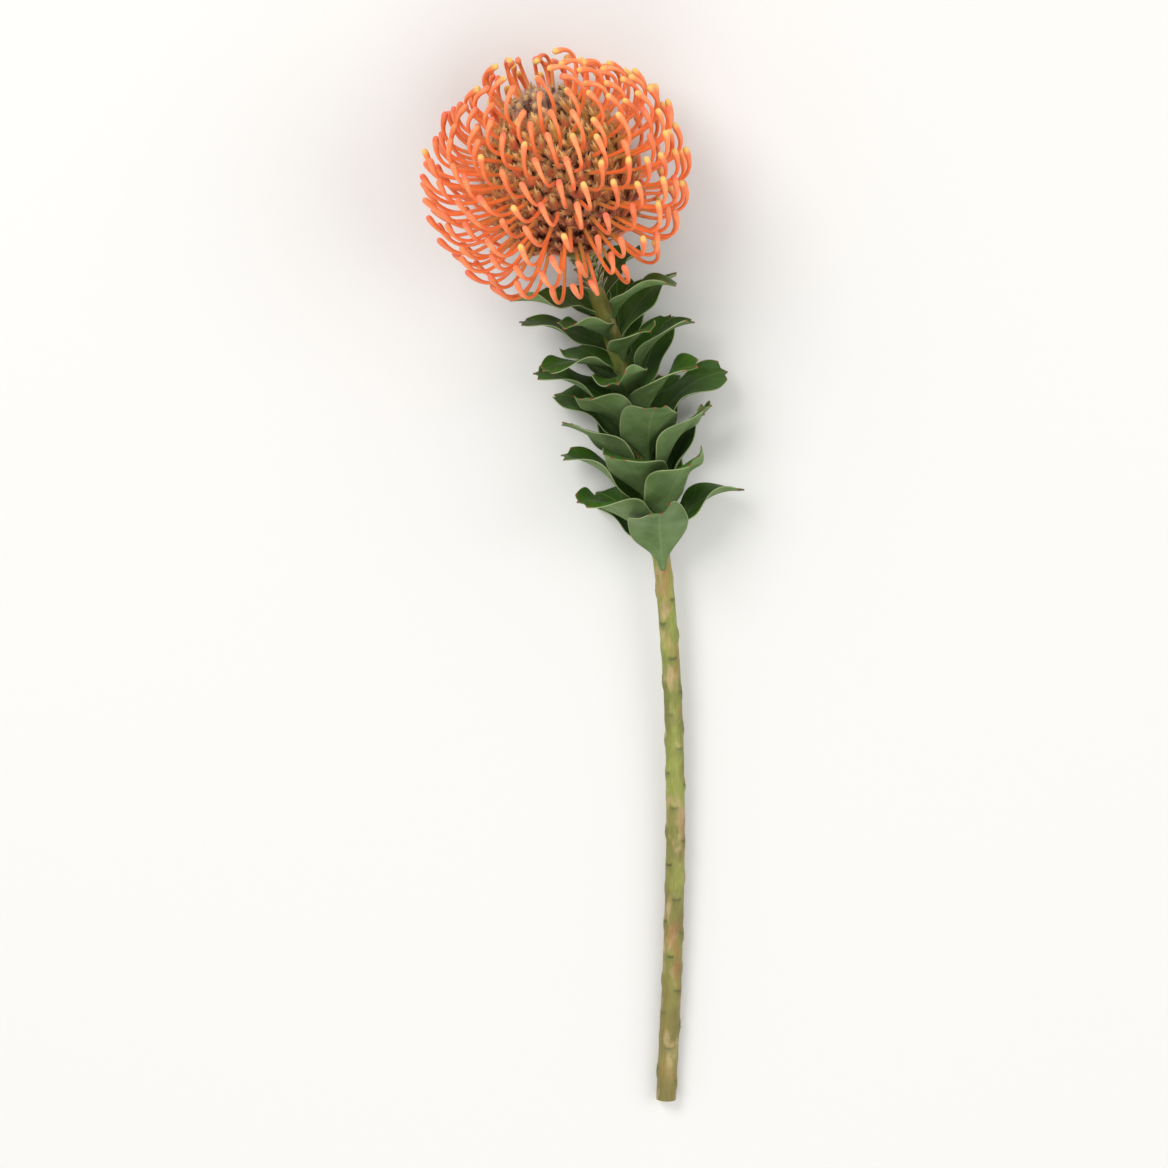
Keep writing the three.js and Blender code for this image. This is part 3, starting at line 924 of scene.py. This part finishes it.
# Every bearer has the same number of hairs, and hairAt gives the root, the way and the length of each.
def makeHairs(name, each, bearers, hairAt, ageOf, radius, slot, node):
    count = each * bearers
    spots = [hairAt(n, n // each) for n in range(count)]

    def place(n, local):
        root, way, length = spots[n]
        across = way.orthogonal().normalized()
        other = way.cross(across)
        return root + across * local.x * radius + other * local.y * radius + way * local.z * length

    spikes = repeatShape(spikeTemplate(), count, place, {"age": lambda n, local: ageOf(n // each)})
    finishPiece(name, spikes, [silk], slot, node)


def makePetalHairs(name, petals):
    def hairAt(n, which):
        one = petals[which]
        at = one.at
        along = lerp(hairs["from"], 1, draw(n, 22))
        across = math.copysign(abs(jitter(n, 23)) ** hairs["atMargins"], jitter(n, 23))
        turned = pathAt(one.path, along)[2]
        towards = at.apexwards * one.kind["towardsApex"]
        onwards = at.out * math.cos(turned) + towards * math.sin(turned)
        back = at.out * math.sin(turned) - towards * math.cos(turned)
        way = onwards * hairs["onwards"] + at.out * hairs["outwards"] + back * hairs["backwards"]
        way += at.sideways * across * hairs["sideways"]
        way += Vector((jitter(n, 24), jitter(n, 25), jitter(n, 26))) * hairs["scatter"]
        length = hairs["length"] * (1 + hairs["lengthSpread"] * jitter(n, 27))
        return petalPoint(one, along, across), way.normalized(), length

    makeHairs(
        name, hairs["eachPetal"], len(petals), hairAt, lambda which: floretAge(petals[which].k),
        hairs["radius"], "floret_wool", "flower_head",
    )


# The matted middle of the head: lumps under the florets and clefts between them
core = {
    "fineness": 6,
    "sunk": 3.8 * mm,
    "lumpReach": 5.5 * mm,
    "lumpHeight": 2.6 * mm,
    "roughness": 0.5 * mm,
    "roughSize": 1.6 * mm,
    "baseBlend": 0.15,
    "gap": 0.3 * mm,
}


def makeCore():
    florets = kdtree.KDTree(head["florets"])
    for k in range(head["florets"]):
        florets.insert(eggPoint(floretPolar(k), floretAngle(k)), k)
    florets.balance()
    ball = bmesh.new()
    bmesh.ops.create_icosphere(ball, subdivisions=core["fineness"], radius=1)

    def place(n, local):
        polar = math.acos(clamp(local.normalized().z, -1, 1))
        angle = math.atan2(local.y, local.x)
        point = eggPoint(polar, angle)
        away = florets.find(point)[2]
        lump = core["lumpHeight"] * (1 - smoothstep(away, 0, core["lumpReach"]))
        rough = core["roughness"] * noise.noise(point / core["roughSize"])
        onBase = smoothstep(polar, head["basePolar"] - core["baseBlend"], head["basePolar"])
        point = eggPoint(polar, angle, (lump + rough) * (1 - onBase) - core["sunk"])
        low = (point - head["base"]).dot(headAxis)
        return point - headAxis * min(low - core["gap"], 0)

    wool = repeatShape(ball, 1, place, {"age": lambda n, local: (1 - local.z) / 2})
    finishPiece("head_core", wool, [mattedWool], "floret_wool", "flower_head")


# Buds: the youngest florets at the apex are still closed clubs, downy and grey-lilac
bud = {
    "count": 11,
    "age": 0.03,
    "tint": 0.3,
    "gathered": 0.9,
    "length": 8 * mm,
    "lengthSpread": 0.15,
    "sunk": 3 * mm,
    "thickness": [(0, 1), (0.5, 1.2), (0.8, 2), (0.93, 1.7), (1, 0.5)],  # radii in millimetres
    "leanIn": 35,
    "leanSpread": 15,
    "steps": 10,
    "sides": 6,
    "rings": 8,
    "hairs": 110,
    "hairsFrom": 0.55,
    "hairRoot": 0.9,
    "hairLean": 0.9,
    "hairLength": 2 * mm,
}


def budPath(k):
    polar = floretPolar(k) * bud["gathered"]
    slope = eggSlope(polar)
    lean = math.radians(bud["leanIn"] + bud["leanSpread"] * jitter(k, 32))
    step = (bud["length"] * (1 + bud["lengthSpread"] * jitter(k, 31)) + bud["sunk"]) / bud["steps"]
    turns = [(slope - lean * n / bud["steps"],) for n in range(bud["steps"] + 1)]
    return walkPath(*eggRoot(polar, bud["sunk"]), step, turns)


def makeBuds():
    paths = [budPath(k) for k in range(bud["count"])]

    def centreAt(n, share):
        radius, height, slope = pathAt(paths[n], share)
        return head["base"] + headDirection(radius, height, floretAngle(n)), slope

    def place(n, local):
        centre, slope = centreAt(n, local.z)
        return roundRod(centre, slope, floretAngle(n), local, alongKnots(bud["thickness"], local.z) * mm)

    marks = {
        "along": lambda n, local: lerp(0.4, 0.9, local.z),
        "age": lambda n, local: bud["age"],
        "shade": lambda n, local: jitter(n, 33),
        "tint": lambda n, local: bud["tint"],
    }
    clubs = repeatShape(rodTemplate(bud["sides"], bud["rings"]), bud["count"], place, marks)
    smoothen(finishPiece("apex_buds", clubs, [felt], "floret_wool", "flower_head"), 1)

    def hairAt(n, which):
        share = lerp(bud["hairsFrom"], 1, draw(n, 34))
        centre, slope = centreAt(which, share)
        turned = math.pi * jitter(n, 35)
        onwards, outwards, sideways = headWays(slope, floretAngle(which))
        way = outwards * math.cos(turned) + sideways * math.sin(turned)
        root = centre + way * alongKnots(bud["thickness"], share) * bud["hairRoot"] * mm
        return root, (way + onwards * bud["hairLean"]).normalized(), bud["hairLength"]

    makeHairs(
        "bud_hairs", bud["hairs"], bud["count"], hairAt, lambda which: bud["age"],
        hairs["radius"], "floret_wool", "flower_head",
    )


makeCore()
for level in ("upper", "lower"):
    petals = petalList(petal[level])
    makePetals(level + "_petals", petals)
    makePetalHairs(level + "_hairs", petals)
makeBuds()
makeStyles()
print("flower head made")

# Leaves
leaf = {
    "count": 34,
    "spiralStart": 3,
    "firstY": 10 * mm,
    "lastY": 159 * mm,
    "length": 60 * mm,
    "youngLengthShare": 0.74,
    "lengthSpread": 0.08,
    "halfWidthShare": 0.265,
    "footWidthShare": 0.3,
    "footEnd": 0.32,
    "swell": (0.12, 0.96),
    "fullness": 0.7,
    "thickness": 0.8 * mm,
    "footPitch": (25, 55),
    "footPitchSpread": 5,
    "tipPitch": (68, 82),
    "tipPitchSpread": 16,
    "rollSpread": 10,
    "rollEnd": 0.3,
    "twistSpread": 26,
    "cup": 0.18,
    "cupSpread": 0.12,
    "wave": 2.5 * mm,
    "waveSpread": 1.1 * mm,
    "waveTurns": 9,
    "waveSkew": 1.2,
    "waveGrows": (0.1, 0.5),
    "recurve": 4 * mm,
    "recurveSpread": 4 * mm,
    "tipRow": [0.952, 0.948, 1, 0.948, 0.952],
    "lastPlainRow": 0.833,
    "callusFrom": 0.96,
    "callusEdge": (0.3, 0.9),
    "gap": 0.3 * mm,
    "pressDepth": 1.4,
    "lowest": 0.3 * mm,
    "footReach": 0.06,
    "footThickness": 2.2 * mm,
    "footThinsBy": 0.2,
    "edgeThickness": 0.45 * mm,
    "edgeSharpness": 6,
    "midribHeight": 0.55 * mm,
    "midribWidth": 1.1 * mm,
    "midribAtTip": 0.3,
    "midribProud": 2,
    "midribGroove": -0.4,
    "acrossCells": 24,
    "alongCells": 44,
}


def leafShape(i):
    rise = i / (leaf["count"] - 1)
    young = rise**3
    at = stemFrame(lerp(leaf["firstY"], leaf["lastY"], rise))
    angle = spiralAngle(i + leaf["spiralStart"])
    share = lerp(1, leaf["youngLengthShare"], young) * (1 + leaf["lengthSpread"] * jitter(i, 11))
    return SimpleNamespace(
        at=at,
        outwards=at.right * math.cos(angle) + at.up * math.sin(angle),
        length=leaf["length"] * share,
        start=math.radians(lerp(*leaf["footPitch"], young) + leaf["footPitchSpread"] * jitter(i, 12)),
        end=math.radians(lerp(*leaf["tipPitch"], young) + leaf["tipPitchSpread"] * jitter(i, 13)),
        roll=math.radians(leaf["rollSpread"] * jitter(i, 14)),
        twist=math.radians(leaf["twistSpread"] * jitter(i, 15)),
        cup=leaf["cup"] + leaf["cupSpread"] * jitter(i, 16),
        wave=leaf["wave"] + leaf["waveSpread"] * jitter(i, 17),
        phase=math.pi * jitter(i, 18),
        recurve=leaf["recurve"] + leaf["recurveSpread"] * jitter(i, 19),
    )


def bladeHalfWidth(shape, along):
    swell = math.sin(math.pi * lerp(*leaf["swell"], along)) ** leaf["fullness"]
    width = lerp(leaf["footWidthShare"], 1, smoothstep(along, 0, leaf["footEnd"])) * swell
    return shape.length * leaf["halfWidthShare"] * width


def pressUnderStem(point):
    share = clamp((point.y - cutY) / (stemTopY - cutY))
    level = stemPoint(share).z - stem["topRadius"]
    if point.z > level:
        return point
    flattest = math.exp(-leaf["pressDepth"])
    pressed = (math.exp((point.z - level) / level) - flattest) / (1 - flattest)
    point.z = max(level * pressed, leaf["lowest"])
    return point


def leafPoint(shape, along, across):
    at, outwards = shape.at, shape.outwards
    pitch = lerp(shape.start, shape.end, along)
    radius = shape.length / (shape.end - shape.start)
    rib = at.centre + outwards * (stemRadius(at.share) + leaf["gap"] + leaf["thickness"] / 2)
    rib += at.along * radius * (math.sin(pitch) - math.sin(shape.start))
    rib += outwards * radius * (math.cos(shape.start) - math.cos(pitch))
    forwards = at.along * math.cos(pitch) + outwards * math.sin(pitch)
    turn = shape.roll * smoothstep(along, 0, leaf["rollEnd"]) + shape.twist * along * along
    sideways = Quaternion(forwards, turn) @ at.along.cross(outwards)
    face = sideways.cross(forwards)
    half = bladeHalfWidth(shape, along)
    ripple = shape.wave * math.sin(leaf["waveTurns"] * along + shape.phase + leaf["waveSkew"] * across)
    lift = ripple * smoothstep(along, *leaf["waveGrows"]) - shape.cup * half
    return rib + sideways * half * across + face * (across * across * lift + shape.recurve * along**3)


# How far along the blade a point of the template is: the last rows run out to the three small teeth.
def leafAlong(along, across):
    plain = lerp(-leaf["footReach"], 1, along)
    last = leaf["lastPlainRow"]
    if plain < last:
        return plain
    return lerp(last, rowAt(leaf["tipRow"], across), (plain - last) / (1 - last))


def makeLeaf(i):
    shape = leafShape(i)

    def pointAt(n, along, across):
        return pressUnderStem(leafPoint(shape, leafAlong(along, across), across))

    def thicknessAt(n, along, across, side):
        half = bladeHalfWidth(shape, leafAlong(along, across))
        fromRib = across * half / leaf["midribWidth"]
        rib = leaf["midribHeight"] * math.exp(-fromRib * fromRib) * lerp(1, leaf["midribAtTip"], along)
        rib *= leaf["midribProud"] if side > 0 else leaf["midribGroove"]
        body = lerp(leaf["thickness"], leaf["edgeThickness"], abs(across) ** leaf["edgeSharpness"])
        foot = lerp(leaf["footThickness"], 0, smoothstep(along, 0, leaf["footThinsBy"]))
        return body + foot * (1 - across * across) + rib

    def tooth(along, across):
        onTooth = smoothstep(math.cos(2 * math.pi * across), *leaf["callusEdge"])
        return smoothstep(along, leaf["callusFrom"], 1) * onTooth

    sheet = bladePlace(pointAt, thicknessAt)

    def place(n, local):
        point = sheet(n, local)
        point.z = max(point.z, aboveTable)
        return point

    marks = {
        "along": lambda n, local: local.y,
        "across": lambda n, local: local.x,
        "side": lambda n, local: 1 if local.z > 0 else 0,
        "tooth": lambda n, local: tooth(local.y, local.x),
        "shade": lambda n, local: jitter(i, 41),
    }
    number = "%02d" % (i + 1)
    blade = repeatShape(bladeTemplate(leaf["acrossCells"], leaf["alongCells"]), 1, place, marks)
    finishPiece("blade_" + number, blade, [leafSkin], "leaf_blade", "leaf_" + number)


for i in range(leaf["count"]):
    makeLeaf(i)
print("leaves made")

# Neck: it widens from the stem's top to the underside of the head
neck = {
    "sunk": 1.5 * mm,
    "gap": 0.3 * mm,
    "footRadius": 4.5 * mm,
    "topRadius": 15 * mm,
    "flare": 2.2,
    "length": 16 * mm,
    "firstRing": 0.1,
}


def neckCentre(share):
    foot = stemFrame(stemTopY)
    start = foot.centre - foot.along * neck["sunk"]
    end = head["base"] - headAxis * neck["gap"]
    middle = end - headAxis * (end - start).length / 2
    return start * (1 - share) ** 2 + middle * 2 * share * (1 - share) + end * share * share


def neckRadius(share):
    return lerp(neck["footRadius"], neck["topRadius"], max(share, 0) ** neck["flare"])


def neckPoint(share, angle, radius):  # a share below 0 is on the shoot
    turned = max(share, 0)
    at = stemFrame(stemTopY + min(share, 0) * neck["length"])
    centre = neckCentre(share) if share > 0 else at.centre
    right = at.right.lerp(headRight, turned)
    up = at.up.lerp(headUp, turned)
    return centre + (right * math.cos(angle) + up * math.sin(angle)) * radius


# Scars go up to the lowest leaf.
lastScar = math.floor((leaf["firstY"] - stem["firstScarY"]) / stem["scarSpacing"]) - 1


def turnedFrom(angle, other):
    return (angle - other + math.pi) % (2 * math.pi) - math.pi


# How high an old leaf base stands at a point of the shoot, how deep its scar is there, and how near it is.
def scarAt(y, angle, radius):
    nearest = round((y - stem["firstScarY"]) / stem["scarSpacing"])
    bump = groove = halo = 0
    for i in range(max(0, nearest - 1), min(lastScar, nearest + 1) + 1):
        turned = turnedFrom(angle, spiralAngle(i))
        above = y - stem["firstScarY"] - i * stem["scarSpacing"]
        bump += max(0, math.cos(turned)) ** 4 * max(0, 1 - (above / stem["scarReach"]) ** 2)
        aside = turned * radius + stem["scarStray"] * jitter(i, 61)
        width = stem["scarWidth"] * (1 + stem["scarSpread"] * jitter(i, 62))
        inWidth = 1 - smoothstep(abs(aside), width * stem["scarFadesFrom"], width)
        lineAt = stem["scarLift"] + stem["scarStray"] * jitter(i, 63) + stem["scarCurve"] * aside * aside
        fromLine = (above - lineAt) / stem["scarLine"]
        depth = lerp(*stem["scarDepthShares"], draw(i, 64))
        groove = max(groove, inWidth * math.exp(-fromLine * fromLine) * depth)
        near = math.hypot(above, aside * stem["haloNarrowing"]) / stem["haloSize"]
        halo = max(halo, math.exp(-near * near))
    return bump, groove, halo


def footSwell(y, angle):  # the shoot swells a little under each leaf's foot
    swell = 0
    rise = (y - leaf["firstY"]) / (leaf["lastY"] - leaf["firstY"]) * (leaf["count"] - 1)
    for i in range(max(0, int(rise) - 2), min(leaf["count"] - 1, int(rise) + 3) + 1):
        foot = lerp(leaf["firstY"], leaf["lastY"], i / (leaf["count"] - 1))
        turned = turnedFrom(angle, spiralAngle(i + leaf["spiralStart"]))
        away = (y - foot) / stem["swellReach"]
        swell = max(swell, math.exp(-away * away) * max(0, math.cos(turned)) ** 6)
    return swell


# Shoot and neck in one rod: its first cap is the cut, with insets for the rings of the wood.
def makeShoot():
    rings = stem["shootRings"] + stem["neckRings"]
    rod = rodTemplate(stem["sides"], rings)

    def cutFaces():
        return [face for face in rod.faces if all(vert.co.z < 0.1 / rings for vert in face.verts)]

    cap = cutFaces()
    for inset in stem["cutInsets"]:
        bmesh.ops.inset_region(rod, faces=cap, thickness=inset, use_even_offset=True)
    for face in cutFaces():
        face.material_index = 1

    def relief(y, angle, share):
        bump, groove, _ = scarAt(y, angle, stemRadius(share))
        swell = stem["footSwell"] * footSwell(y, angle)
        reach = stem["knobRadius"]
        knobs = noise.noise(Vector((math.cos(angle) * reach, y, math.sin(angle) * reach)) / stem["knobSize"])
        return stem["scarHeight"] * bump - stem["scarDepth"] * groove + swell + stem["knobbliness"] * knobs

    def ringY(local):
        return lerp(cutY, stemTopY, clamp(local.z * rings / stem["shootRings"]))

    def place(n, local):
        angle = math.atan2(local.y, local.x)
        ring = local.z * rings
        if ring <= stem["shootRings"] + 0.1:
            y = ringY(local)
            at = stemFrame(y)
            radius = math.hypot(local.x, local.y) * (stemRadius(at.share) + relief(y, angle, at.share))
            point = at.centre + at.right * math.cos(angle) * radius + at.up * math.sin(angle) * radius
        else:
            share = lerp(neck["firstRing"], 1, (ring - stem["shootRings"]) / stem["neckRings"])
            point = neckPoint(share, angle, math.hypot(local.x, local.y) * neckRadius(share))
        point.z = max(point.z, aboveTable)
        return point

    def scarMarks(local):
        return scarAt(ringY(local), math.atan2(local.y, local.x), stemRadius(local.z))

    marks = {
        "height": lambda n, local: local.z,
        "scar": lambda n, local: scarMarks(local)[1],
        "halo": lambda n, local: scarMarks(local)[2],
        "depth": lambda n, local: 1 - math.hypot(local.x, local.y),
    }
    shoot = repeatShape(rod, 1, place, marks)
    finishPiece("shoot", shoot, [bark, cutWood], "bark", "stem")


# Bracts: small overlapping scales that sit on the neck, with downy edges
bract = {
    "count": 46,
    "first": -0.75,
    "last": 0.86,
    "sunk": 0.8 * mm,
    "reach": 4 * mm,
    "length": 4.8 * mm,
    "halfWidth": 2.6 * mm,
    "footWidth": 0.7,
    "widensTo": 0.35,
    "thickness": 0.45 * mm,
    "bulge": 0.9 * mm,
    "cup": 0.7 * mm,
    "acrossCells": 6,
    "alongCells": 7,
    "hairs": 26,
    "hairsFrom": 0.25,
    "hairLength": 1.1 * mm,
    "hairSlimness": 0.8,
    "hairUp": 0.9,
    "hairOut": 0.6,
    "hairAge": 0.3,
}


def bractPoint(n, along, across):
    share = lerp(bract["first"], bract["last"], n / bract["count"])
    angle = n * goldenAngle
    foot = neckPoint(share, angle, neckRadius(share) - bract["sunk"])
    tip = neckPoint(share, angle, neckRadius(share) + bract["reach"]) + headAxis * bract["length"]
    sideways = headDirection(0, 0, angle, 1)
    outwards = sideways.cross(tip - foot).normalized()
    width = bract["halfWidth"] * lerp(bract["footWidth"], 1, smoothstep(along, 0, bract["widensTo"]))
    width *= (1 - clamp(along) ** 2.4) ** 0.7  # rounded off to the point
    bulge = bract["bulge"] * math.sin(math.pi * clamp(along)) - bract["cup"] * across * across * (1 - along)
    return foot.lerp(tip, along) + sideways * width * across + outwards * bulge


def makeBracts():
    marks = {"along": lambda n, local: local.y, "across": lambda n, local: local.x}
    place = bladePlace(bractPoint, lambda n, along, across, side: bract["thickness"])
    template = bladeTemplate(bract["acrossCells"], bract["alongCells"])
    bracts = repeatShape(template, bract["count"], place, marks)
    finishPiece("bracts", bracts, [bractSkin], "bark", "stem")

    def hairAt(n, which):
        across = jitter(n, 52)
        root = bractPoint(which, lerp(bract["hairsFrom"], 1, draw(n, 51)), across)
        angle = which * goldenAngle
        way = headAxis * bract["hairUp"] + headDirection(1, 0, angle) * bract["hairOut"]
        way += headDirection(0, 0, angle, 1) * across * bract["hairOut"]
        return root, way.normalized(), bract["hairLength"]

    makeHairs(
        "bract_hairs", bract["hairs"], bract["count"], hairAt, lambda which: bract["hairAge"],
        hairs["radius"] * bract["hairSlimness"], "bark", "stem",
    )


makeShoot()
makeBracts()
print("stem made")

# Table top, soft light and camera
stage = {
    "tableSize": 16,
    "tableColor": "#E3E2DF",
    "skyColor": "#FFFFFF",
    "skyStrength": 0.66,
    "lamps": [  # place, size and power
        ((-1.3, 1.6, 2.4), 1.6, 46),
        ((1.8, 0.4, 2), 2, 18),
        ((0, -1.8, 1.8), 1.8, 13),
    ],
    "cameraTilt": math.radians(9),
    "cameraDistance": 4.5,
    "cameraLens": 250,
    "lookAt": (0, 0, 0.04),
}


def makeTable():
    surface = newMaterial("paleTableTop", {"Roughness": 0.7, "Base Color": stage["tableColor"]})[0]
    top = bmesh.new()
    bmesh.ops.create_grid(top, x_segments=2, y_segments=2, size=stage["tableSize"] / 2)
    addMesh("table", top, surface)


def makeLight():
    world = bpy.data.worlds.new("softSky")
    world.use_nodes = True
    sky = {"Color": stage["skyColor"], "Strength": stage["skyStrength"]}
    fillInputs(world.node_tree, world.node_tree.nodes["Background"], sky)
    bpy.context.scene.world = world
    bpy.context.scene.view_settings.view_transform = "Standard"
    for place, size, power in stage["lamps"]:
        data = bpy.data.lights.new("softbox", "AREA")
        data.shape = "DISK"
        data.size = size
        data.energy = power
        turned = Vector(place).to_track_quat("Z", "Y").to_matrix().to_4x4()
        addObject("softbox", data).matrix_world = Matrix.Translation(place) @ turned


def makeCamera():
    data = bpy.data.cameras.new("camera")
    data.lens = stage["cameraLens"]
    camera = addObject("camera", data)
    tilt = stage["cameraTilt"]
    away = Vector((0, math.sin(tilt), math.cos(tilt)))
    up = Vector((0, math.cos(tilt), -math.sin(tilt)))
    turned = Matrix((up.cross(away), up, away)).transposed().to_4x4()
    place = Vector(stage["lookAt"]) + away * stage["cameraDistance"]
    camera.matrix_world = Matrix.Translation(place) @ turned
    bpy.context.scene.camera = camera


makeTable()
makeLight()
makeCamera()
print("stage made")
